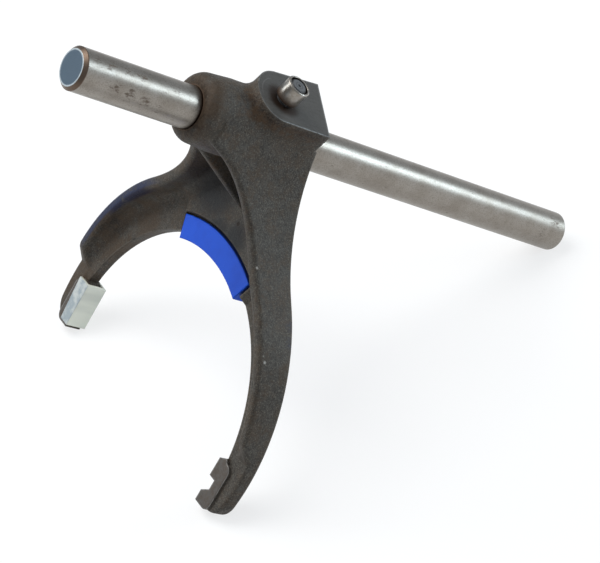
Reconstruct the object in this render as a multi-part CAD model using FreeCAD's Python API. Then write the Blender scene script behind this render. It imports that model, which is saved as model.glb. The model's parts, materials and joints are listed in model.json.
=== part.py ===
import FreeCAD
import Part
import math
import os

# Transfer case shift fork. It is drawn with the rail along X, the legs hanging towards -Z and the
# rail's long end towards +X. X = 0 lies on the follower pin. At the end the whole assembly is laid
# down as it comes to rest: on both tips and on the lower rim of the rail's long end.
# Driving sizes are in mm.

# Shift rail
rail_dia = 15.0
rail_short = 78.0           # pin to the short end
rail_long = 157.3           # pin to the long end
rail_chamfer = 1.2
seat_relief = 0.2           # radial, the rail is this much thinner where the hub sits
seat_margin = 0.4           # the thinner stretch runs past the hub by this much
bore_clearance = 0.03       # radial, hub bore over the rail's seat

# Hub
hub_short = 29.2            # pin to the hub's free end
hub_long = 19.2             # pin to the hub's other end
hub_end_radius = 12.4
hub_radius = 13.0
hub_rise = 0.8              # the hub is a little thicker on top than below
hub_round = 4.2
hub_swell_run = 1.5         # the hub reaches its full radius this far short of the boss's root
bore_lead = 0.4

# Outline of the fork seen along the rail
arc_drop = 105.0            # centre of the inner arc, below the rail
arc_radius = 58.0
waist_radius = 12.9         # the shoulders leave the hub tangent to this radius
shoulder_radius = 78.0
leg_width = 10.1            # leg across, level with the outer arc's centre
leg_centre_across = 5.5     # the outer arc's centre lies this far past the middle
leg_centre_rise = 5.8       # and this far above the inner arc's centre
leg_below = 9.9             # the legs end this far below the inner arc's centre
leg_end_round = 8.0

# Plate of the legs, and the thicker web over the middle
plate_front = 14.9
plate_thickness = 4.3
web_extra = 2.4
web_past_pad = 0.3
web_ramp = 3.9
web_ramp_round = 1.5
recess_chamfer = 0.7
recess_gap = 0.7

# Flange along the outside of the legs. Its front edge is an arc, then a straight slope.
flange_thickness = 4.2
flange_root_round = 4.5
flange_edge_round = 1.4
flange_start = 25.5         # pin to the front edge's upper end, towards the short end
flange_start_drop = 5.0
flange_nose_round = 3.0
flange_top = 22.0           # pin to where the front edge runs into the hub's side
flange_knee = 3.0           # pin to the lower end of the arc
flange_knee_drop = 38.0
flange_foot = 9.2           # pin to the lower end of the slope
flange_foot_rise = 29.2     # above the legs' ends
flange_runout = 6.4
flange_stub = 0.25          # height left on the plate below the foot
flange_foot_round = 5.0

# Middle rib
rib_thickness = 4.0
rib_root_round = 3.0
rib_edge_round = 1.2
rib_start = 17.6            # pin to the rib's end under the hub
rib_start_drop = 12.3
rib_foot_drop = 30.1

# Boss with the machined flat
pin_turn = 22.9             # the pin leans from upright towards -Y, degrees
flat_height = 16.5          # flat above the rail's axis
boss_cast_height = 24.0     # height as cast, before the flat is cut
boss_short = 10.7
boss_near = 10.6
boss_far = 13.0
boss_far_skew = 4.6         # degrees
boss_end_skew = 7.5         # degrees
boss_corner = 8.2
boss_far_corner = 12.0
boss_root_round = 4.2

# Machined tongues at the tips
tongue_proud = 1.2          # past the plate, front and back
tongue_reach = 3.4          # inside the fork's inner arc
tongue_seat = 4.5           # outside it
tongue_length = 18.3
tongue_corner = 3.0
lug_rise = 1.4
lug_slope = 1.9
notch_rise = 10.4           # the notch's upper wall, above the leg's end
notch_width = 3.7
notch_depth = 3.4
notch_slope = 2.5

# Middle pad
pad_width = 9.3
pad_wall = 2.9
pad_reach = 6.1             # the cheeks reach this far past the fork's inner arc
pad_half_angle = 22.0
pad_round = 0.35

# Tip pad
clip_front_wall = 1.05
clip_face_wall = 1.35
clip_over = 0.9             # above the tongue's top
clip_short = 1.3            # above the leg's end
clip_reach_top = 2.3        # outside the fork's inner arc
clip_reach_low = 0.5
clip_round = 0.3
nib_root = 0.7
pad_clearance = 0.05

# Follower pin and roller
roller_dia = 8.8
roller_length = 6.9
roller_lift = 0.15          # end play between the roller and the pin's shoulder
roller_recess_dia = 7.3
roller_recess = 1.6
roller_chamfer = 0.3
journal_dia = 4.6
running_clearance = 0.03    # radial, roller on pin
pin_dia = 6.0
pin_depth = 5.0             # the pin ends this far past the rail's axis
pin_shoulder = 1.2          # the thick part of the pin stands this far out of the flat
pin_head_dia = 6.0
pin_head = 1.45
pin_head_edge = 0.35
pin_head_gap = 0.1
pin_dimple_dia = 1.2
pin_dimple = 0.5

# Cutting tools: how far they stand clear of the iron, a length past the whole fork, and how
# near two shapes touch
spare = 5.0
reach = 250.0
touch = 0.01

v = FreeCAD.Vector
along_x = v(1, 0, 0)
along_y = v(0, 1, 0)
plate_back = plate_front + plate_thickness
leg_radius = arc_radius + leg_width + leg_centre_across
leg_centre_drop = arc_drop - leg_centre_rise
leg_end = arc_drop + leg_below
flange_foot_drop = leg_end - flange_foot_rise
tongue_front = plate_front - tongue_proud
tongue_back = plate_back + tongue_proud
tongue_inside = arc_radius - tongue_reach
tongue_outside = arc_radius + tongue_seat
tongue_top = leg_end - tongue_length
clip_front = tongue_front - pad_clearance - clip_front_wall
clip_back = tongue_back + pad_clearance + clip_front_wall


# Meeting point, with the larger first value, of two circles in a plane.
def circles_meet(centre_a, radius_a, centre_b, radius_b):
    across = centre_b[0] - centre_a[0]
    up = centre_b[1] - centre_a[1]
    gap = math.hypot(across, up)
    run = (gap * gap + radius_a ** 2 - radius_b ** 2) / (2 * gap)
    side = math.sqrt(radius_a ** 2 - run ** 2)
    foot = (centre_a[0] + run * across / gap, centre_a[1] + run * up / gap)
    one = (foot[0] + side * up / gap, foot[1] - side * across / gap)
    two = (foot[0] - side * up / gap, foot[1] + side * across / gap)
    return max(one, two)


def toward(start, goal, distance):
    gap = math.hypot(goal[0] - start[0], goal[1] - start[1])
    return (start[0] + (goal[0] - start[0]) * distance / gap,
            start[1] + (goal[1] - start[1]) * distance / gap)


def middle_of_arc(centre, radius, one, two):
    half = ((one[0] + two[0]) / 2, (one[1] + two[1]) / 2)
    return toward(centre, half, radius)


def line(one, two):
    return Part.LineSegment(one, two).toShape()


def arc(one, middle, two):
    return Part.Arc(one, middle, two).toShape()


def prism(edges, length):
    return Part.Face(Part.Wire(edges)).extrude(length)


def polygon(points):
    return [line(points[i - 1], points[i]) for i in range(len(points))]


def spin(profile, axis_point, axis, degrees=360.0):
    return Part.Face(Part.Wire(polygon(profile))).revolve(axis_point, axis, degrees)


# Edges of a shape that lie in the surface of both of two others.
def shared_edges(shape, one, two):
    shells = [Part.Compound(one.Faces), Part.Compound(two.Faces)]
    found = []
    for edge in shape.Edges:
        first, last = edge.ParameterRange
        spots = [edge.valueAt(first + (last - first) * step / 4) for step in range(1, 4)]
        far = max(shell.distToShape(Part.Vertex(spot))[0] for shell in shells for spot in spots)
        if far < touch:
            found.append(edge)
    return found


# Straight edges along Y that pass through a spot.
def edges_across(shape, spot):
    return [edge for edge in shape.Edges
            if edge.Curve.TypeId == "Part::GeomLine" and edge.BoundBox.YLength > spare
            and math.hypot(edge.CenterOfMass.x - spot.x, edge.CenterOfMass.z - spot.z) < touch]


# Side of the fork's outline from the waist to the leg's end, drawn inset from the outside:
# the hollow shoulder, then the leg.
def side_edges(inset, low, sign, x):
    hub_centre = (0.0, hub_rise)
    leg_centre = (-leg_centre_across, -leg_centre_drop)
    shoulder = circles_meet(hub_centre, waist_radius + shoulder_radius,
                            leg_centre, leg_radius + shoulder_radius)
    hollow = shoulder_radius + inset
    outer = leg_radius - inset
    waist = toward(shoulder, hub_centre, hollow)
    join = toward(shoulder, leg_centre, hollow)
    end_across = math.sqrt(outer ** 2 - (low - leg_centre_drop) ** 2) - leg_centre_across
    end = (end_across, -low)
    spots = [waist, middle_of_arc(shoulder, hollow, waist, join), join,
             middle_of_arc(leg_centre, outer, join, end), end]
    a, b, c, d, e = [v(x, sign * spot[0], spot[1]) for spot in spots]
    return [arc(a, b, c), arc(c, d, e)]


def ends_of(edges):
    return edges[0].firstVertex().Point, edges[-1].lastVertex().Point


# Everything inside the fork's outer outline and outside its inner arc, as deep as the hub.
def fork_blank():
    x = -flange_start - hub_round
    left = side_edges(0.0, leg_end, -1, x)
    right = side_edges(0.0, leg_end, 1, x)
    inner_end = math.sqrt(arc_radius ** 2 - (leg_end - arc_drop) ** 2)
    top_left, low_left = ends_of(left)
    top_right, low_right = ends_of(right)
    in_left = v(x, -inner_end, -leg_end)
    in_right = v(x, inner_end, -leg_end)
    crown = v(x, 0, arc_radius - arc_drop)
    edges = left + right + [line(top_left, top_right), line(low_left, in_left),
                            arc(in_left, crown, in_right), line(in_right, low_right)]
    blank = prism(Part.__sortEdges__(edges), along_x * (plate_back - x))
    corners = [edge for edge in blank.Edges
               if edge.BoundBox.XLength > spare
               and abs(edge.BoundBox.ZMax + leg_end) < touch
               and abs(edge.BoundBox.YMax) > inner_end + touch]
    return blank.makeFillet(leg_end_round, corners)


# Seen from the side: all that lies behind the flange's front edge.
def side_view():
    start = (-flange_start, -flange_start_drop)
    knee = (flange_knee, -flange_knee_drop)
    foot = (flange_foot, -flange_foot_drop)
    slope = math.hypot(knee[0] - foot[0], knee[1] - foot[1])
    normal = ((foot[1] - knee[1]) / slope, -(foot[0] - knee[0]) / slope)
    chord = (start[0] - knee[0], start[1] - knee[1])
    radius = (chord[0] ** 2 + chord[1] ** 2) / (2 * (chord[0] * normal[0] + chord[1] * normal[1]))
    centre = (knee[0] + radius * normal[0], knee[1] + radius * normal[1])
    bend = middle_of_arc(centre, radius, start, knee)
    y = -leg_radius - spare
    p = [v(spot[0], y, spot[1]) for spot in (start, bend, knee, foot)]
    stub = plate_front - flange_stub
    run_out = v(stub, y, -flange_foot_drop - flange_runout)
    below = v(stub, y, -leg_end - spare)
    back_low = v(plate_back + spare, y, -leg_end - spare)
    back_high = v(plate_back + spare, y, hub_radius)
    nose_high = v(-flange_top, y, hub_radius)
    nose = v(-flange_top, y, hub_rise)
    corners = [p[2], p[3], run_out, below, back_low, back_high, nose_high, nose, p[0]]
    edges = [arc(p[0], p[1], p[2])]
    edges += [line(corners[i], corners[i + 1]) for i in range(len(corners) - 1)]
    solid = prism(edges, along_y * (-2 * y))
    solid = solid.makeFillet(flange_foot_round, edges_across(solid, p[3]))
    return solid.makeFillet(flange_nose_round, edges_across(solid, p[0]))


# Front of the plate at one side of the web, with a ramp up to the web's greater thickness.
def beside_web(sign, x):
    start = sign * web_past_pad
    low = spare - arc_drop
    outline = polygon([v(x, start, low), v(plate_front - web_extra, start, low),
                       v(plate_front, start + sign * web_ramp, low), v(plate_front, sign * reach, low),
                       v(x, sign * reach, low)])
    side = prism(outline, v(0, 0, reach))
    side.rotate(v(0, 0, -arc_drop), along_x, -sign * pad_half_angle)
    return side


# What is cast away between the flanges, down to the plate and less over the middle, with round
# roots.
def pocket():
    x = -flange_start - 2 * hub_round
    low = leg_end + spare
    left = side_edges(flange_thickness, low, -1, x)
    right = side_edges(flange_thickness, low, 1, x)
    top_left, low_left = ends_of(left)
    top_right, low_right = ends_of(right)
    edges = left + right + [line(top_left, top_right), line(low_left, low_right)]
    between = prism(Part.__sortEdges__(edges), along_x * (plate_back - x))
    web_front = Part.makeBox(plate_front - web_extra - x, 4 * reach, 4 * reach,
                             v(x, -2 * reach, -2 * reach))
    floor = web_front.fuse([beside_web(-1, x), beside_web(1, x)]).removeSplitter()
    ramps = [edge for edge in floor.Edges
             if edge.BoundBox.ZLength > spare and abs(edge.CenterOfMass.y) < reach / 3]
    floor = floor.makeFillet(web_ramp_round, ramps)
    tool = between.common(floor)
    roots = [edge for edge in shared_edges(tool, between, floor) if edge.BoundBox.ZLength > spare]
    return tool.makeFillet(flange_root_round, roots)


# Rim of the boss at a height along the pin. The far side spreads with height.
def boss_outline(height):
    end = hub_long + spare
    left = -boss_short
    turn = boss_corner * (1 - math.sqrt(0.5))
    far_turn = boss_far_corner * (1 - math.sqrt(0.5))
    spread = math.tan(math.radians(boss_far_skew)) * height / flat_height
    far_end = boss_far + (end - left - boss_far_corner) * spread
    p = [v(end, -boss_near, height), v(left + boss_corner, -boss_near, height),
         v(left + turn, -boss_near + turn, height), v(left, -boss_near + boss_corner, height),
         v(left, boss_far - boss_far_corner, height), v(left + far_turn, boss_far - far_turn, height),
         v(left + boss_far_corner, boss_far, height), v(end, far_end, height)]
    return Part.Wire([line(p[0], p[1]), arc(p[1], p[2], p[3]), line(p[3], p[4]),
                      arc(p[4], p[5], p[6]), line(p[6], p[7]), line(p[7], p[0])])


# Hub round the rail and the cast boss, joined by a round root, then cut to the flat and the end.
def hub_and_boss():
    end = hub_long + spare
    swell = -boss_short - boss_root_round - hub_swell_run
    face = hub_end_radius - hub_round
    diagonal = hub_round * math.sqrt(0.5)
    p = [v(-hub_short, 0, 0), v(-hub_short, 0, face),
         v(-hub_short + hub_round - diagonal, 0, face + diagonal),
         v(-hub_short + hub_round, 0, hub_end_radius), v(swell, 0, hub_radius),
         v(end, 0, hub_radius), v(end, 0, 0)]
    edges = [line(p[0], p[1]), arc(p[1], p[2], p[3]), line(p[3], p[4]), line(p[4], p[5]),
             line(p[5], p[6]), line(p[6], p[0])]
    hub = Part.Face(Part.Wire(edges)).revolve(v(), along_x, 360)
    hub.translate(v(0, 0, hub_rise))

    boss = Part.makeLoft([boss_outline(0), boss_outline(boss_cast_height)], True, True)
    boss.rotate(v(), along_x, pin_turn)
    both = hub.fuse(boss).removeSplitter()
    near_root = [edge for edge in shared_edges(both, hub, boss)
                 if edge.BoundBox.YMax < 0 and edge.BoundBox.XMax > hub_long]
    both = both.makeFillet(boss_root_round, near_root)

    flat_tool = Part.makeBox(reach, reach, reach, v(-reach / 2, -reach / 2, flat_height))
    flat_tool.rotate(v(), along_x, pin_turn)
    end_tool = Part.makeBox(reach, reach, reach, v(0, -reach / 2, -reach / 2))
    end_tool.rotate(v(), v(0, 0, 1), -boss_end_skew)
    end_tool.translate(v(hub_long, 0, 0))
    end_tool.rotate(v(), along_x, pin_turn)
    return both.cut(flat_tool).cut(end_tool)


# Rib under the hub. Its root flares into the web and its free edge is straight.
def rib():
    half = rib_thickness / 2
    low = -rib_foot_drop - spare
    flare = rib_root_round * (1 - math.sqrt(0.5))
    tip = -rib_start - spare
    root = plate_front - rib_root_round
    p = [v(tip, -half, low), v(root, -half, low), v(plate_front - flare, -half - flare, low),
         v(plate_front, -half - rib_root_round, low), v(plate_back, -half - rib_root_round, low),
         v(plate_back, half + rib_root_round, low), v(plate_front, half + rib_root_round, low),
         v(plate_front - flare, half + flare, low), v(root, half, low), v(tip, half, low)]
    edges = [line(p[0], p[1]), arc(p[1], p[2], p[3]), line(p[3], p[4]), line(p[4], p[5]),
             line(p[5], p[6]), arc(p[6], p[7], p[8]), line(p[8], p[9]), line(p[9], p[0])]
    section = prism(edges, v(0, 0, -low))
    y = -half - 2 * rib_root_round
    side = prism(polygon([v(-rib_start, y, 0), v(-rib_start, y, -rib_start_drop),
                          v(plate_front, y, -rib_foot_drop), v(plate_back, y, -rib_foot_drop),
                          v(plate_back, y, 0)]), along_y * (-2 * y))
    bar = section.common(side)
    front = [edge for edge in shared_edges(bar, section, side)
             if edge.BoundBox.ZMax < 0 and edge.BoundBox.XMin < 0]
    return bar.makeFillet(rib_edge_round, front)


# Rim of the recess that the middle pad sits in, drawn wider by margin.
def recess_outline(x, margin):
    radius = arc_radius + pad_reach + recess_gap + margin
    turn = math.radians(pad_half_angle) + (recess_gap + margin) / arc_radius
    low = radius * math.cos(turn) - arc_drop
    half = radius * math.sin(turn)
    p = [v(x, -half, low), v(x, 0, radius - arc_drop), v(x, half, low)]
    centre = v(x, 0, -arc_drop)
    return Part.Wire([arc(p[0], p[1], p[2]), line(p[2], centre), line(centre, p[0])])


def recess():
    rim = plate_front - web_extra
    straight = Part.Face(recess_outline(rim, 0)).extrude(along_x * web_extra)
    flare = Part.makeLoft([recess_outline(rim + recess_chamfer, 0),
                           recess_outline(rim - spare, recess_chamfer + spare)], True, True)
    return straight.fuse(flare)


# Outline of a tip's tongue, seen along the rail, on the side that sign gives.
def tongue(sign):
    turn = tongue_corner * (1 - math.sqrt(0.5))
    spots = [(tongue_inside, -leg_end), (tongue_inside, -tongue_top - lug_slope + lug_rise),
             (arc_radius, -tongue_top + lug_rise), (arc_radius + lug_rise, -tongue_top),
             (tongue_outside - tongue_corner, -tongue_top),
             (tongue_outside - turn, -tongue_top - turn),
             (tongue_outside, -tongue_top - tongue_corner), (tongue_outside, tongue_corner - leg_end),
             (tongue_outside - turn, turn - leg_end), (tongue_outside - tongue_corner, -leg_end)]
    p = [v(tongue_front, sign * spot[0], spot[1]) for spot in spots]
    edges = [line(p[0], p[1]), line(p[1], p[2]), line(p[2], p[3]), line(p[3], p[4]),
             arc(p[4], p[5], p[6]), line(p[6], p[7]), arc(p[7], p[8], p[9]), line(p[9], p[0])]
    return prism(edges, along_x * (tongue_back - tongue_front))


# Notch in a tongue's inner face, or with a gap the nib of a pad that fits it.
def notch(sign, gap=0.0, mouth=0.0):
    front = tongue_front - spare
    back = tongue_back + spare
    floor = tongue_inside + notch_depth - gap
    start = tongue_inside - mouth
    slope = notch_slope * (floor - start) / notch_depth
    top = notch_rise - leg_end - gap
    low = notch_rise - leg_end - notch_width + gap
    spots = [(start, top), (floor, top), (floor, low), (start, low - slope)]
    return prism(polygon([v(front, sign * spot[0], spot[1]) for spot in spots]),
                 along_x * (back - front))


def bore_tool():
    radius = rail_dia / 2 - seat_relief + bore_clearance
    bore = Part.makeCylinder(radius, hub_short + hub_long + 4 * spare, v(-hub_short - spare, 0, 0), along_x)
    lead = Part.makeCone(radius + bore_lead, radius, bore_lead, v(-hub_short, 0, 0), along_x)
    return bore.fuse(lead)


def along_pin(shape):
    shape.rotate(v(), along_x, pin_turn)
    return shape


def from_arc(edge):
    first, last = edge.ParameterRange
    middle = edge.valueAt((first + last) / 2)
    return math.hypot(middle.y, middle.z + arc_drop)


# One iron casting, machined at the bore, the flat, the tongues and the pin's hole.
def fork_casting():
    blank = fork_blank()
    side = side_view()
    space = pocket()
    frame = blank.common(side)
    outer_rim = [edge for edge in shared_edges(frame, side, blank)
                 if edge.BoundBox.ZMax < 0 and from_arc(edge) > arc_radius + leg_width / 2]
    frame = frame.makeFillet(flange_edge_round, outer_rim).cut(space)
    inner_rim = [edge for edge in shared_edges(frame, side, space)
                 if edge.BoundBox.XMax < (flange_foot + plate_front) / 2 and edge.BoundBox.ZMax < 0]
    frame = frame.makeFillet(flange_edge_round, inner_rim)
    casting = frame.cut(recess()).fuse([rib(), hub_and_boss(), tongue(-1), tongue(1)]).removeSplitter()
    pin_hole = along_pin(Part.makeCylinder(pin_dia / 2, reach))
    return casting.cut([bore_tool(), pin_hole, notch(-1, 0, spare), notch(1, 0, spare)])


def shift_rail():
    full = rail_dia / 2
    seat = full - seat_relief
    seat_start = -hub_short - seat_margin
    seat_end = hub_long + full * math.tan(math.radians(boss_end_skew)) + seat_margin
    profile = [v(-rail_short, 0, 0), v(-rail_short, 0, full - rail_chamfer),
               v(-rail_short + rail_chamfer, 0, full), v(seat_start, 0, full), v(seat_start, 0, seat),
               v(seat_end, 0, seat), v(seat_end, 0, full), v(rail_long - rail_chamfer, 0, full),
               v(rail_long, 0, full - rail_chamfer), v(rail_long, 0, 0)]
    rail = spin(profile, v(), along_x)
    cross_hole = along_pin(Part.makeCylinder(pin_dia / 2, reach, v(0, 0, -pin_depth)))
    return rail.cut(cross_hole)


# Pin pressed through boss and rail. Above the flat it is thinner, and its upset head keeps the
# roller on.
def follower_pin():
    thick = pin_dia / 2
    thin = journal_dia / 2
    head = pin_head_dia / 2
    seat = flat_height + pin_shoulder
    head_low = seat + roller_lift + roller_length - roller_recess + pin_head_gap
    head_top = head_low + pin_head
    dimple = pin_dimple_dia / 2
    profile = [v(0, 0, -pin_depth), v(thick, 0, -pin_depth), v(thick, 0, seat),
               v(thin, 0, seat), v(thin, 0, head_low), v(head, 0, head_low),
               v(head, 0, head_top - pin_head_edge), v(head - pin_head_edge, 0, head_top),
               v(dimple, 0, head_top),
               v(0, 0, head_top - pin_dimple)]
    return along_pin(spin(profile, v(), v(0, 0, 1)))


def follower_roller():
    bore = journal_dia / 2 + running_clearance
    recess = roller_recess_dia / 2
    outer = roller_dia / 2
    low = flat_height + pin_shoulder + roller_lift
    top = low + roller_length
    profile = [v(bore, 0, low), v(outer - roller_chamfer, 0, low), v(outer, 0, low + roller_chamfer),
               v(outer, 0, top - roller_chamfer), v(outer - roller_chamfer, 0, top),
               v(recess, 0, top), v(recess, 0, top - roller_recess), v(bore, 0, top - roller_recess)]
    return along_pin(spin(profile, v(), v(0, 0, 1)))


# Middle pad: a U in section, bent round the fork's inner arc and clipped over the plate.
def centre_pad():
    middle = plate_front + plate_thickness / 2
    front = middle - pad_width / 2
    back = middle + pad_width / 2
    inner = arc_radius - pad_wall
    seat = arc_radius - pad_clearance
    outer = arc_radius + pad_reach
    slot_front = plate_front - pad_clearance
    slot_back = plate_back + pad_clearance
    profile = [v(front, 0, inner), v(front, 0, outer), v(slot_front, 0, outer), v(slot_front, 0, seat),
               v(slot_back, 0, seat), v(slot_back, 0, outer), v(back, 0, outer), v(back, 0, inner)]
    pad = spin(profile, v(), along_x, 2 * pad_half_angle)
    pad.rotate(v(), along_x, -pad_half_angle)
    rims = [edge for edge in pad.Edges
            if edge.BoundBox.XMax < front + touch or edge.BoundBox.XMin > back - touch]
    pad = pad.makeFillet(pad_round, rims)
    pad.translate(v(0, 0, -arc_drop))
    return pad


# Tip pad: a clip over the far tongue, with a nib in the tongue's notch.
def tip_pad():
    face = tongue_inside - pad_clearance - clip_face_wall
    top = clip_over - tongue_top
    low = clip_short - leg_end
    spots = [(face, low), (face, top), (arc_radius + clip_reach_top, top),
             (arc_radius + clip_reach_low, low)]
    clip = prism(polygon([v(clip_front, spot[0], spot[1]) for spot in spots]),
                 along_x * (clip_back - clip_front))
    clip = clip.makeFillet(clip_round, clip.Edges)
    slot_front = clip_front + clip_front_wall
    slot_width = clip_back - clip_front_wall - slot_front
    slot = Part.makeBox(slot_width, arc_radius, leg_end,
                        v(slot_front, tongue_inside - pad_clearance, low - spare))
    nib = notch(1, pad_clearance, nib_root)
    nib = nib.common(Part.makeBox(slot_width, 2 * arc_radius, leg_end, v(slot_front, 0, low)))
    return clip.cut(slot).fuse(nib).removeSplitter()


# Tilt that brings the tips' lower back edges and the rail's lower rim to one level.
def rest_tilt():
    tip = (tongue_back, -leg_end)
    rim = (rail_long - rail_chamfer, -rail_dia / 2)
    return math.degrees(math.atan2(rim[1] - tip[1], rim[0] - tip[0]))


pieces = {
    "fork_casting": fork_casting(),
    "shift_rail": shift_rail(),
    "follower_pin": follower_pin(),
    "follower_roller": follower_roller(),
    "centre_pad": centre_pad(),
    "tip_pad": tip_pad(),
}

for piece in pieces.values():
    piece.rotate(v(), along_y, rest_tilt())
whole = Part.Compound(list(pieces.values())).optimalBoundingBox(False)
to_origin = v(-whole.Center.x, -whole.Center.y, -whole.ZMin)

os.makedirs("parts", exist_ok=True)
for name, piece in pieces.items():
    piece.translate(to_origin)
    piece.exportStep("parts/" + name + ".step")
    print(name, "solids", len(piece.Solids), "valid", piece.isValid(), "volume", round(piece.Volume, 1))
print("tilt", round(rest_tilt(), 3), "moved by", to_origin)
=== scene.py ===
import json
import math

import bpy
from mathutils import Euler, Matrix, Vector

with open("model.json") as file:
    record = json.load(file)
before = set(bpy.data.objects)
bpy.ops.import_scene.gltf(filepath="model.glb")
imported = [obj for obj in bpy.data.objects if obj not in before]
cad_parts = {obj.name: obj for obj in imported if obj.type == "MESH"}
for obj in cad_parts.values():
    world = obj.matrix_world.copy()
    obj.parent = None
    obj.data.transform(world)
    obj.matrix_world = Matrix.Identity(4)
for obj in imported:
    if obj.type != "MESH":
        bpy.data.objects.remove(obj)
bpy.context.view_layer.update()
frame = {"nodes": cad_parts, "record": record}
nodes = frame["nodes"]
print("model loaded:", ", ".join(sorted(nodes)))

mmPerMetre = 1000.0
mounts = {mount["name"]: mount for mount in frame["record"]["mounts"]}
railWay = Vector(mounts["rail_long_end"]["axis"])
pinWay = Vector(mounts["follower"]["axis"])
rollerPlace = Vector(mounts["follower"]["pos_m"]) * mmPerMetre

# finishes are placed in the fork's own frame, in mm: the rail runs along X to its long end,
# the pin crosses it at the origin and the legs point to -Z
lying = {
    "pinPlace": rollerPlace - pinWay * (rollerPlace.y / pinWay.y),
    "turn": Matrix.Rotation(math.atan2(railWay.z, railWay.x), 3, "Y"),
}
pinAxis = lying["turn"] @ pinWay
print("fork found: pin at %.1f, %.1f, %.1f mm" % tuple(lying["pinPlace"]))


# one output of a material's nodes; sums on it add Math nodes
class Wire:
    def __init__(self, paint, socket):
        self.paint = paint
        self.socket = socket

    def calc(self, operation, *values):
        return self.paint.node("ShaderNodeMath", {"operation": operation}, dict(enumerate(values)))

    def __add__(self, other):
        return self.calc("ADD", self, other)

    def __radd__(self, other):
        return self.calc("ADD", other, self)

    def __sub__(self, other):
        return self.calc("SUBTRACT", self, other)

    def __rsub__(self, other):
        return self.calc("SUBTRACT", other, self)

    def __mul__(self, other):
        return self.calc("MULTIPLY", self, other)

    def __rmul__(self, other):
        return self.calc("MULTIPLY", other, self)

    def size(self):
        return self.calc("ABSOLUTE", self)

    def orElse(self, other):
        return self.calc("MAXIMUM", self, other)

    # 0 below low, 1 above high, smooth between; the other way round where low is the larger
    def ramp(self, low, high):
        inputs = {"Value": self, "From Min": low, "From Max": high}
        return self.paint.node("ShaderNodeMapRange", {"interpolation_type": "SMOOTHSTEP"}, inputs)

    def above(self, limit, soft):
        return self.ramp(limit - soft, limit + soft)

    def below(self, limit, soft):
        return self.ramp(limit + soft, limit - soft)

    def between(self, low, high, soft):
        return self.above(low, soft) * self.below(high, soft)


# a material with its nodes
class Paint:
    def __init__(self, name):
        self.material = bpy.data.materials.new(name)
        self.material.use_nodes = True
        self.tree = self.material.node_tree
        self.tree.nodes.clear()
        turn = lying["turn"]
        self.place = self.node("ShaderNodeMapping", {"vector_type": "POINT"}, {
            "Vector": self.node("ShaderNodeTexCoord", output="Object"),
            "Location": -(turn @ lying["pinPlace"]),
            "Rotation": turn.to_euler(),
            "Scale": (mmPerMetre, mmPerMetre, mmPerMetre)})
        self.x, self.y, self.z = [
            self.node("ShaderNodeSeparateXYZ", {}, {0: self.place}, axis) for axis in "XYZ"]

    # any node: its type, its settings, then the values or links of its sockets
    def node(self, kind, settings=None, inputs=None, output=0):
        node = self.tree.nodes.new(kind)
        for key, value in (settings or {}).items():
            setattr(node, key, value)
        for key, value in (inputs or {}).items():
            if isinstance(value, Wire):
                self.tree.links.new(value.socket, node.inputs[key])
            else:
                node.inputs[key].default_value = value
        return None if output is None else Wire(self, node.outputs[output])

    def vector(self, operation, first, second, output="Vector"):
        settings = {"operation": operation}
        return self.node("ShaderNodeVectorMath", settings, {0: first, 1: second}, output)

    def mix(self, under, over, share):
        under = under if isinstance(under, Wire) else (*under, 1.0)
        over = over if isinstance(over, Wire) else (*over, 1.0)
        return self.node("ShaderNodeMix", {"data_type": "RGBA"}, {0: share, 6: under, 7: over}, 2)

    def noise(self, perMm, detail=3.0, rough=0.55, stretch=(1.0, 1.0, 1.0)):
        return self.node("ShaderNodeTexNoise", {}, {
            "Vector": self.vector("MULTIPLY", self.place, stretch),
            "Scale": perMm,
            "Detail": detail,
            "Roughness": rough}, 0)

    # how far along a direction, in mm
    def along(self, direction):
        return self.vector("DOT_PRODUCT", self.place, direction, "Value")

    # distance in mm from the pin's axis
    def fromPin(self):
        side = self.vector("CROSS_PRODUCT", self.place, pinAxis)
        return self.vector("DISTANCE", side, (0.0, 0.0, 0.0), "Value")

    # distance in mm from a spot
    def gap(self, spot):
        return self.vector("DISTANCE", self.place, spot, "Value")

    # distance in mm from a line along X; with no spot the line is the rail's axis
    def fromLine(self, spot=(0.0, 0.0, 0.0)):
        flat = self.vector("MULTIPLY", self.place, (0.0, 1.0, 1.0))
        return self.vector("DISTANCE", flat, spot, "Value")

    # 1 near any of the spots, each with its reach in mm, and 0 away from them
    def blots(self, spots, soft=0.7):
        total = None
        for spot, reach in spots:
            blot = self.gap(spot).ramp(reach, reach * (1 - soft))
            total = blot if total is None else total.orElse(blot)
        return total

    # how open the surface is within a reach in metres: 1 on open faces, less in creases
    def open(self, reach):
        return self.node("ShaderNodeAmbientOcclusion", {"samples": 8}, {"Distance": reach}, "AO")

    # normals rounded over sharp edges
    def rounded(self, radius):
        return self.node("ShaderNodeBevel", {"samples": 8}, {"Radius": radius})

    # 1 along the edges that the rounded normals bend over
    def edges(self, rounded):
        true = self.node("ShaderNodeNewGeometry", output="Normal")
        return self.vector("DOT_PRODUCT", rounded, true, "Value").ramp(0.985, 0.86)

    def bump(self, height, strength, distance, normal=None):
        inputs = {"Height": height, "Strength": strength, "Distance": distance}
        if normal:
            inputs["Normal"] = normal
        return self.node("ShaderNodeBump", {}, inputs)

    def surface(self, inputs):
        shader = self.node("ShaderNodeBsdfPrincipled", {}, inputs)
        self.node("ShaderNodeOutputMaterial", {}, {"Surface": shader}, output=None)
        return self.material


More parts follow.
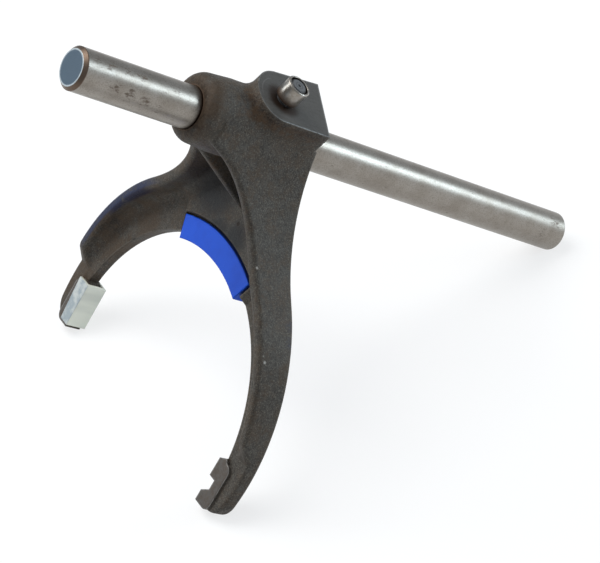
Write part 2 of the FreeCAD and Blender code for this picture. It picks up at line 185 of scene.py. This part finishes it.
castIron = {
    "dark": (0.025, 0.021, 0.017),
    "light": (0.080, 0.073, 0.063),
    "film": (0.058, 0.038, 0.023),             # thin brown film
    "grains": (0.15, 0.136, 0.112),            # bright grains of the skin
    "pocketShade": (0.008, 0.0105, 0.014),            # painted shade, bluish, on the pocket's floor under the hub
    "rust": (0.062, 0.034, 0.016),
    # dark brown: dirt, also used as painted shade in hollows and creases
    "dirtAndShade": (0.014, 0.008, 0.005),
    "boreRing": (0.10, 0.066, 0.044),
    "worn": (0.150, 0.130, 0.108),             # edges rubbed bare
    "paint": (0.018, 0.026, 0.062),
    "paintInShade": (0.006, 0.008, 0.030),
    "chip": (0.30, 0.285, 0.26),
    "milled": (0.078, 0.075, 0.070),
    "milledTongue": (0.082, 0.072, 0.064),
    "brightEdge": (0.36, 0.36, 0.35),
    "footGreaseAndShadow": (0.022, 0.012, 0.007),         # grease and painted shadow on the flat, at the roller's foot
    "rough": 0.56,
    "metallic": 0.2,
    "shine": 0.22,
    "reliefDepth": 0.00030,                    # metres
    "edgeRadius": 0.0013,                      # metres
    "creaseReach": 0.006,                      # metres
    "hollowReach": 0.022,                      # metres
    "flatHeight": 16.5,                        # along the pin, from the rail's axis
    "flatSkin": 0.04,                          # what lies this close under the flat counts as milled
    "scratch": {"radius": (9.1, 9.5), "x": -3.5, "y": -6.5},        # an arc round the pin
    "foot": {"way": (-0.8, -0.6, 0.0), "start": 1.5, "radius": 6.5},     # side of the roller where grease and painted shadow lie on the flat
    "bossReach": 18.75,                        # rusty part of the boss, from the pin's axis
    "bossFront": -6.0,
    "rootHeight": (12.4, 16.4),                # along the pin
    "underFlatHeight": (14.4, 17.4),           # along the pin
    "stainedBore": {"x": -26.25, "radius": 11.5},
    "boreMouth": {"x": -28.2, "radius": 8.1},
    "tongue": {"top": -95.2, "outer": 62.5, "middle": 17.05, "half": 3.33},
    "farArc": (0.0, -5.5, -99.2),              # centre of the far leg's outer arc
    "paintedHeight": (-84.0, -43.0),
    "paintedSide": 31.0,
    "paintedRim": {"radius": 70.4, "x": 11.25},
    "shadedRim": {"radius": (69.2, 71.2), "height": (-66.0, -47.0), "x": 8.0},
    "rustSpots": [((-9.5, -2.0, -14.0), 6.0), ((2.0, 10.0, -22.0), 8.0), ((-13.8, -4.5, 12.5), 3.5)],
    # dark patches of dirt and painted shade, mostly under the hub and beside the rib
    "dirtAndShadeSpots": [((-2.0, -9.0, -22.0), 12.0), ((3.0, 12.0, -22.0), 9.0), ((8.0, -8.0, -30.0), 8.0),
                  ((5.1, 19.3, -24.2), 9.0), ((9.0, 15.0, -27.0), 8.0), ((9.5, 57.0, -70.0), 9.0)],
    "brownSpots": [((5.8, 44.0, -50.6), 10.0), ((9.6, 54.3, -64.0), 11.0),
                   ((9.7, 58.5, -72.3), 12.0), ((14.9, 44.6, -58.0), 12.0),
                   ((14.9, 52.8, -74.2), 14.0), ((13.7, 61.7, -100.6), 16.0),
                   ((3.0, 22.0, -24.0), 14.0), ((-27.5, -8.0, 8.5), 9.0)],
    "pocketShadeSpots": [((12.5, 15.0, -30.0), 17.0), ((12.5, -6.0, -38.0), 9.0), ((12.5, 4.0, -42.0), 10.0)],
    "noseSpots": [((-21.0, -14.5, -2.5), 9.0)],        # where the flange runs out on the hub
    "chipSpots": [((3.8, -33.2, -35.2), 0.7), ((7.1, -54.2, -56.6), 0.5), ((8.0, -55.4, -58.2), 0.9)],
    "pitSpots": [((12.5, -3.4, -33.3), 1.0)],
    "blueSpots": [((18.6, -46.5, -47.4), 3.0), ((19.0, -50.5, -51.6), 3.4)],
}


def castIronPaint():
    paint = Paint("castIron")
    fine = paint.noise(1.55, 3.0, 0.7)
    grain = paint.noise(0.6, 4.0, 0.7)
    cloud = paint.noise(0.075, 3.0, 0.6)
    streak = paint.noise(0.17, 4.0, 0.65)
    grains = paint.noise(2.1, 2.0, 0.6)
    swirl = paint.noise(0.5, 3.0, 0.6, (0.5, 2.4, 2.4))
    normal = paint.rounded(castIron["edgeRadius"])
    edge = paint.edges(normal)
    openness = paint.open(castIron["creaseReach"])
    hollow = paint.open(castIron["hollowReach"])
    nose = paint.blots(castIron["noseSpots"])
    crease = openness.ramp(0.97, 0.55) * (1 - nose)

    # sand-cast skin
    tone = cloud.ramp(0.3, 0.7) * 0.25 + grain.ramp(0.36, 0.64) * 0.25 + fine.ramp(0.38, 0.62) * 0.5
    body = paint.mix(castIron["dark"], castIron["light"], tone)
    body = paint.mix(body, castIron["film"], streak.ramp(0.38, 0.62) * grain.ramp(0.3, 0.6) * 0.7)
    body = paint.mix(body, castIron["grains"], grains.ramp(0.53, 0.66) * 0.5)
    brown = paint.blots(castIron["brownSpots"]) * streak.ramp(0.3, 0.55)
    body = paint.mix(body, castIron["film"], brown * 0.6)
    # painted shade: the web under the hub darkened to a bluish tone
    body = paint.mix(body, castIron["pocketShade"], paint.blots(castIron["pocketShadeSpots"]) * 0.75)
    # painted light: the crease where the flange runs out on the hub is lightened to cancel its shade
    body = paint.mix(body, castIron["grains"], openness.ramp(0.97, 0.6) * nose * 0.55)

    # rust and dirt round the boss; dirt with painted shade in the hollows, under the hub and under the
    # flat's edge
    height = paint.along(pinAxis)
    out = paint.fromPin()
    front = paint.y.below(castIron["bossFront"], 2.0) * out.below(castIron["bossReach"], 2.75)
    bossRoot = (height + streak * 3.0).between(*castIron["rootHeight"], 1.3) * front
    underFlat = (height + streak * 2.0).between(*castIron["underFlatHeight"], 0.9) * front
    rust = paint.blots(castIron["rustSpots"]) * 0.85 + crease * 0.3 + bossRoot
    mottle = (streak * 0.4 + grain * 0.6).ramp(0.38, 0.56)
    body = paint.mix(body, castIron["rust"], rust * mottle * 0.7)
    # dirt, and painted shade in the hollows and under the flat's edge
    dirtAndShade = (paint.blots(castIron["dirtAndShadeSpots"]) * 0.75 + hollow.ramp(0.60, 0.25) * 0.4
            + underFlat * 0.8 + bossRoot * 0.45)
    blotchy = (streak * 0.5 + fine * 0.5).ramp(0.62, 0.36)
    body = paint.mix(body, castIron["dirtAndShade"], dirtAndShade * blotchy * 0.85)

    # stained mouth of the bore
    fromRail = paint.fromLine()
    stained, mouth = castIron["stainedBore"], castIron["boreMouth"]
    bore = paint.x.below(stained["x"], 1.75) * fromRail.below(stained["radius"], 2.5)
    body = paint.mix(body, castIron["film"], bore * streak.ramp(0.3, 0.55) * 0.8)
    body = paint.mix(body, castIron["dirtAndShade"], bore * grain.ramp(0.42, 0.62) * 0.6)
    ring = paint.x.below(mouth["x"], 0.2) * fromRail.below(mouth["radius"], 0.1)
    body = paint.mix(body, castIron["boreRing"], ring)

    rub = edge * openness.ramp(0.55, 0.9) * (grain * 0.5 + streak * 0.5).ramp(0.32, 0.56)
    body = paint.mix(body, castIron["worn"], rub * (1 - nose) * 0.65)

    # old blue paint on the far leg's flange, then chips and pits
    fromArc = paint.fromLine(castIron["farArc"])
    painted, shaded = castIron["paintedRim"], castIron["shadedRim"]
    part = paint.z.between(*castIron["paintedHeight"], 4.0) * paint.y.above(castIron["paintedSide"], 3.0)
    patchy = (streak * 0.5 + grain * 0.5).ramp(0.28, 0.5)
    rim = fromArc.above(painted["radius"], 0.5) * paint.x.below(painted["x"], 1.25)
    shade = (fromArc.between(*shaded["radius"], 0.3) * paint.z.between(*shaded["height"], 3.0)
             * paint.x.below(shaded["x"], 1.0))
    body = paint.mix(body, castIron["paintInShade"], part * shade * patchy * 0.9)
    body = paint.mix(body, castIron["paint"], part * rim * patchy * 0.85)
    blue = paint.blots(castIron["blueSpots"]) * fine.ramp(0.4, 0.6)
    body = paint.mix(body, castIron["paint"], blue * 0.4)
    body = paint.mix(body, castIron["chip"], paint.blots(castIron["chipSpots"]) * fine.ramp(0.40, 0.5))
    body = paint.mix(body, castIron["dirtAndShade"], paint.blots(castIron["pitSpots"], 0.4))

    # milled flat under the roller and milled faces of the tongues
    tongueAt = castIron["tongue"]
    flat = height.above(castIron["flatHeight"] - castIron["flatSkin"], 0.02)
    tongue = (paint.z.below(tongueAt["top"], 0.2) * paint.y.size().below(tongueAt["outer"], 0.1)
              * (paint.x - tongueAt["middle"]).size().above(tongueAt["half"], 0.01))
    milled = flat.orElse(tongue)
    metal = paint.mix(castIron["milled"], castIron["milledTongue"], tongue)
    metal = paint.mix(metal, castIron["dark"], swirl.ramp(0.4, 0.8) * 0.3 + fine.ramp(0.45, 0.7) * 0.25)
    metal = paint.mix(metal, castIron["film"], tongue * grain.ramp(0.42, 0.6) * 0.5)
    # painted shade in the creases of the milled faces
    metal = paint.mix(metal, castIron["dirtAndShade"], openness.ramp(0.92, 0.4) * 0.85)
    scratchAt, footAt = castIron["scratch"], castIron["foot"]
    scratch = (out.between(*scratchAt["radius"], 0.12) * paint.x.below(scratchAt["x"], 1.5)
               * paint.y.above(scratchAt["y"], 1.5))
    metal = paint.mix(metal, castIron["brightEdge"], scratch * 0.14)
    # grease and painted shadow on the flat beside the raised roller's foot
    foot = out.below(footAt["radius"], 1.5) * paint.along(footAt["way"]).above(footAt["start"], 2.5)
    metal = paint.mix(metal, castIron["footGreaseAndShadow"], foot * 0.95)
    glint = edge * openness.ramp(0.4, 0.8) * grain.ramp(0.3, 0.6)
    metal = paint.mix(metal, castIron["brightEdge"], glint * 0.5)

    relief = (fine * 0.5 + grain * 0.9) * (1 - milled * 0.88)
    return paint.surface({
        "Base Color": paint.mix(body, metal, milled),
        "Roughness": castIron["rough"] - milled * 0.16 + crease * 0.2,
        "Metallic": castIron["metallic"],
        "Specular IOR Level": castIron["shine"],
        "Normal": paint.bump(relief, 0.9, castIron["reliefDepth"], normal)})


railSteel = {
    "steel": (0.310, 0.288, 0.258),
    "dull": (0.205, 0.178, 0.148),
    "fleck": (0.150, 0.125, 0.102),
    "stain": (0.085, 0.055, 0.036),
    "endFace": (0.040, 0.068, 0.098),
    "endRing": (0.55, 0.60, 0.62),
    "copper": (0.10, 0.064, 0.044),            # brown chamfer of the short end
    "rough": 0.33,
    "edgeRadius": 0.0004,                      # metres
    "reliefDepth": 0.00005,                    # metres
    "shortEnd": -78.0,
    "faceSkin": 0.035,                         # what lies this close behind the end counts as its face
    "chamfer": (0.06, 1.4),                    # from the short end
    "ringRadius": 5.85,
    "hubFaces": (-29.2, 19.8),                 # where the rail enters and leaves the hub
    "marks": [((-73.0, -4.2, 6.2), 3.5), ((-67.5, -4.2, 6.3), 4.0), ((-61.0, -4.2, 6.3), 4.0),
              ((-54.5, -4.4, 6.1), 4.0), ((-64.0, -7.5, -0.2), 4.0), ((-58.0, -7.5, -0.2), 4.5),
              ((-51.5, -7.4, -0.6), 4.5), ((-45.0, -7.4, -1.0), 4.0), ((-40.0, -4.6, 5.9), 3.0),
              ((144.0, -7.5, -0.5), 4.5), ((150.0, -5.0, 5.6), 4.0)],
}


def railSteelPaint():
    paint = Paint("railSteel")
    turned = paint.noise(0.9, 4.0, 0.6, (9.0, 0.6, 0.6))      # fine rings left by the grinding
    cloud = paint.noise(0.11, 4.0, 0.62)
    spots = paint.noise(1.15, 4.0, 0.7, (0.45, 1.0, 1.0))
    drag = paint.noise(0.5, 4.0, 0.6, (0.3, 1.5, 1.5))
    flecks = paint.noise(1.9, 3.0, 0.7)
    normal = paint.rounded(railSteel["edgeRadius"])

    dull = cloud.ramp(0.35, 0.7) * 0.5 + turned.ramp(0.3, 0.7) * 0.2
    body = paint.mix(railSteel["steel"], railSteel["dull"], dull)
    body = paint.mix(body, railSteel["fleck"], flecks.ramp(0.46, 0.66) * 0.5)
    marks = paint.blots(railSteel["marks"], 0.9)
    brown = (spots * 0.6 + drag * 0.4 + marks * 0.13).ramp(0.58, 0.70)
    body = paint.mix(body, railSteel["stain"], brown * 0.75)
    inFace, outFace = railSteel["hubFaces"]
    # grime, with painted shade, where the rail meets the hub's faces
    grimeAndShade = (paint.x - inFace).size().ramp(1.4, 0.0) + (paint.x - outFace).size().ramp(1.6, 0.0) * 0.6
    body = paint.mix(body, railSteel["stain"], grimeAndShade * cloud.ramp(0.2, 0.5) * 0.85)

    faceAt = railSteel["shortEnd"]
    inner, outer = railSteel["chamfer"]
    chamfer = paint.x.between(faceAt + inner, faceAt + outer, 0.08)
    face = paint.x.below(faceAt + railSteel["faceSkin"], 0.015)
    ring = paint.fromLine().above(railSteel["ringRadius"], 0.25) * face
    body = paint.mix(body, railSteel["copper"], chamfer * 0.85)
    body = paint.mix(body, railSteel["endFace"], face)
    body = paint.mix(body, railSteel["endRing"], ring * 0.6)
    relief = turned + spots * 0.6 - brown * 0.6
    return paint.surface({
        "Base Color": body,
        "Roughness": railSteel["rough"] + turned * 0.08 + brown * 0.2 + face * 0.12,
        "Metallic": 1.0 - face * 0.5 - brown * 0.4,
        "Normal": paint.bump(relief, 0.4, railSteel["reliefDepth"], normal)})


pinSteel = {
    "disc": (0.15, 0.152, 0.155),
    "ring": (0.055, 0.056, 0.058),
    "dot": (0.02, 0.02, 0.022),
    "rough": 0.45,
    "reliefDepth": 0.0001,                     # metres
    "ringAt": (1.15, 1.55),                    # from the pin's axis
    "headShadeAt": 2.5,
    "dotRadius": 0.625,
}


def pinSteelPaint():
    paint = Paint("pinSteel")
    grain = paint.noise(2.2, 4.0, 0.6)
    out = paint.fromPin()
    ring = grain.ramp(0.45, 0.75) * 0.5 + out.between(*pinSteel["ringAt"], 0.12) * 0.5
    disc = paint.mix(pinSteel["disc"], pinSteel["ring"], ring)
    # painted shade on the pin head's edge, inside the roller's counterbore
    disc = paint.mix(disc, pinSteel["ring"], out.above(pinSteel["headShadeAt"], 0.15) * 0.8)
    disc = paint.mix(disc, pinSteel["dot"], out.below(pinSteel["dotRadius"], 0.125) * 0.9)
    return paint.surface({
        "Base Color": disc,
        "Roughness": pinSteel["rough"] + grain * 0.15,
        "Metallic": 0.7,
        "Normal": paint.bump(grain, 0.4, pinSteel["reliefDepth"])})


rollerSteel = {
    "steel": (0.36, 0.345, 0.32),
    "dull": (0.22, 0.19, 0.155),
    "brown": (0.07, 0.036, 0.018),
    "footGreaseAndShadow": (0.030, 0.016, 0.009),
    "shadow": (0.045, 0.035, 0.028),           # wall of the counterbore
    "rough": 0.24,
    "edgeRadius": 0.0004,                      # metres
    "reliefDepth": 0.00006,                    # metres
    "low": 17.85,                              # roller's ends, along the pin
    "top": 24.75,
    "counterbore": 3.69,
}


def rollerSteelPaint():
    paint = Paint("rollerSteel")
    grain = paint.noise(1.4, 4.0, 0.6)
    cloud = paint.noise(0.3, 3.0, 0.6)
    normal = paint.rounded(rollerSteel["edgeRadius"])
    height = paint.along(pinAxis)
    low, top = rollerSteel["low"], rollerSteel["top"]

    dull = cloud.ramp(0.35, 0.65) * 0.7 + grain.ramp(0.45, 0.75) * 0.3
    body = paint.mix(rollerSteel["steel"], rollerSteel["dull"], dull)
    brown = height.below(low + 2.2, 1.6) * cloud.ramp(0.2, 0.45)
    body = paint.mix(body, rollerSteel["brown"], brown * 0.85)
    # grease and painted shade on the roller's lowest band, next to the flat
    foot = height.below(low + 1.05, 0.65)
    body = paint.mix(body, rollerSteel["footGreaseAndShadow"], foot * 0.85)
    inside = height.below(top - 0.4, 0.2) * paint.fromPin().below(rollerSteel["counterbore"], 0.03)
    body = paint.mix(body, rollerSteel["shadow"], inside * 0.9)
    return paint.surface({
        "Base Color": body,
        "Roughness": rollerSteel["rough"] + cloud * 0.12 + inside * 0.2,
        "Metallic": (0.95 - brown * 0.5) * (1 - foot * 0.8),
        "Normal": paint.bump(grain, 0.3, rollerSteel["reliefDepth"], normal)})


blueNylon = {
    "blue": (0.002, 0.064, 0.50),
    "deep": (0.001, 0.044, 0.39),
    "worn": (0.06, 0.17, 0.62),
    "grimeAndShade": (0.018, 0.020, 0.035),
    "rough": 0.42,
    "shine": 0.18,
    "edgeRadius": 0.0005,                      # metres
    "reliefDepth": 0.00006,                    # metres
    "creaseReach": 0.0025,                     # metres
}


def blueNylonPaint():
    paint = Paint("blueNylon")
    cloud = paint.noise(0.12, 3.0, 0.55)
    grain = paint.noise(2.4, 3.0, 0.55)
    scuff = paint.noise(0.8, 4.0, 0.65, (0.3, 1.6, 1.6))
    normal = paint.rounded(blueNylon["edgeRadius"])
    deep = cloud.ramp(0.42, 0.75) * 0.6 + grain.ramp(0.5, 0.8) * 0.15
    body = paint.mix(blueNylon["blue"], blueNylon["deep"], deep)
    worn = scuff.ramp(0.66, 0.74) * 0.35 + paint.edges(normal) * 0.25
    body = paint.mix(body, blueNylon["worn"], worn)
    # painted shade in the creases along the pocket's walls round the pad
    crease = paint.open(blueNylon["creaseReach"]).ramp(0.8, 0.35)
    body = paint.mix(body, blueNylon["grimeAndShade"], crease * 0.8)
    return paint.surface({
        "Base Color": body,
        "Roughness": blueNylon["rough"] + grain * 0.12,
        "Metallic": 0.0,
        "Specular IOR Level": blueNylon["shine"],
        "Normal": paint.bump(grain, 0.25, blueNylon["reliefDepth"], normal)})


paleNylon = {
    "face": (0.66, 0.665, 0.57),
    "band": (0.52, 0.53, 0.46),
    "front": (0.42, 0.445, 0.435),
    "grey": (0.20, 0.25, 0.28),
    "rough": 0.38,
    "edgeRadius": 0.0004,                      # metres
    "reliefDepth": 0.00006,                    # metres
    "frontAt": 12.73,                          # X of the clip's front plate
}


def paleNylonPaint():
    paint = Paint("paleNylon")
    cloud = paint.noise(0.26, 4.0, 0.6)
    bands = paint.noise(0.16, 2.0, 0.5, (0.15, 0.15, 1.0))
    grain = paint.noise(2.0, 3.0, 0.55)
    normal = paint.rounded(paleNylon["edgeRadius"])
    skin = paint.mix(paleNylon["face"], paleNylon["band"], bands.ramp(0.38, 0.62) * 0.8)
    plate = paint.mix(paleNylon["front"], paleNylon["grey"], cloud.ramp(0.38, 0.60) * 0.8)
    body = paint.mix(skin, plate, paint.x.below(paleNylon["frontAt"], 0.07))
    body = paint.mix(body, paleNylon["face"], paint.edges(normal) * 0.4)
    return paint.surface({
        "Base Color": body,
        "Roughness": paleNylon["rough"] + grain * 0.12,
        "Metallic": 0.0,
        "Normal": paint.bump(grain, 0.25, paleNylon["reliefDepth"], normal)})


finishes = {
    "fork_casting": castIronPaint(),
    "shift_rail": railSteelPaint(),
    "follower_pin": pinSteelPaint(),
    "follower_roller": rollerSteelPaint(),
    "centre_pad": blueNylonPaint(),
    "tip_pad": paleNylonPaint(),
}
for name, material in finishes.items():
    for slot in nodes[name].material_slots:
        slot.material = material
print("materials made:", len(finishes))

table = {
    "colour": (0.93, 0.94, 0.95),
    "halfWidth": 4.0,
    "ownLight": 0.72,      # share of the white that is seen without any lamp, so that a shadow stays
}


def addTable():
    half = table["halfWidth"]
    corners = [(-half, -half, 0), (half, -half, 0), (half, half, 0), (-half, half, 0)]
    mesh = bpy.data.meshes.new("tableTop")
    mesh.from_pydata(corners, [], [(0, 1, 2, 3)])
    top = bpy.data.objects.new("tableTop", mesh)
    bpy.context.scene.collection.objects.link(top)
    paint = Paint("tableWhite")
    camera, glossy, through = [
        paint.node("ShaderNodeLightPath", output="Is %s Ray" % kind)
        for kind in ("Camera", "Glossy", "Transmission")]
    seen = camera.orElse(glossy).orElse(through)
    matt = paint.node("ShaderNodeBsdfDiffuse", {}, {"Color": (*table["colour"], 1.0)})
    white = paint.node("ShaderNodeEmission", {}, {"Color": (1.0, 1.0, 1.0, 1.0), "Strength": 1.0})
    both = paint.node("ShaderNodeMixShader", {}, {0: seen * table["ownLight"], 1: matt, 2: white})
    paint.node("ShaderNodeOutputMaterial", {}, {"Surface": both}, output=None)
    mesh.materials.append(paint.material)


studio = {
    "sky": (0.86, 0.93, 1.0),
    "skyStrength": 0.52,
    "aim": (0.0, 0.0, 0.07),
    "lamps": {
        "overhead": {"place": (-0.35, 0.5, 1.25), "size": (1.0, 1.0), "watts": 15.0,
                     "tint": (1.0, 0.98, 0.95)},
        "backBox": {"place": (-1.0, 0.85, 0.5), "size": (0.5, 0.5), "watts": 3.6,
                    "tint": (0.92, 0.97, 1.0)},
        # makes the bright stripe along the rail
        "sideBox": {"place": (1.08, -0.42, 0.28), "size": (0.5, 0.26), "watts": 6.0,
                    "tint": (0.74, 0.89, 1.0)},
    },
}


def addLamps():
    for name, lamp in studio["lamps"].items():
        light = bpy.data.lights.new(name, "AREA")
        light.shape = "RECTANGLE"
        light.size, light.size_y = lamp["size"]
        light.energy = lamp["watts"]
        light.color = lamp["tint"]
        holder = bpy.data.objects.new(name, light)
        place = Vector(lamp["place"])
        holder.location = place
        holder.rotation_euler = (place - Vector(studio["aim"])).to_track_quat("Z", "Y").to_euler()
        bpy.context.scene.collection.objects.link(holder)


def addSky():
    world = bpy.data.worlds.new("studioSky")
    world.use_nodes = True
    background = world.node_tree.nodes["Background"]
    background.inputs["Color"].default_value = (*studio["sky"], 1.0)
    background.inputs["Strength"].default_value = studio["skyStrength"]
    bpy.context.scene.world = world


photoCamera = {
    "sensorWidth": 36.0,
    "lens": 128.534,
    "nearest": 0.01,
    "place": (-0.283588, -0.545401, 0.521222),
    "turn": (50.89425, 3.75774, -28.98938),    # degrees
}


def addCamera():
    lens = bpy.data.cameras.new("photoCamera")
    lens.sensor_width = photoCamera["sensorWidth"]
    lens.sensor_fit = "HORIZONTAL"
    lens.lens = photoCamera["lens"]
    lens.clip_start = photoCamera["nearest"]
    holder = bpy.data.objects.new("photoCamera", lens)
    holder.location = photoCamera["place"]
    holder.rotation_euler = Euler([math.radians(angle) for angle in photoCamera["turn"]])
    bpy.context.scene.collection.objects.link(holder)
    bpy.context.scene.camera = holder


addTable()
addLamps()
addSky()
addCamera()
bpy.context.scene.view_settings.view_transform = "Standard"
print("table, lamps and camera placed")
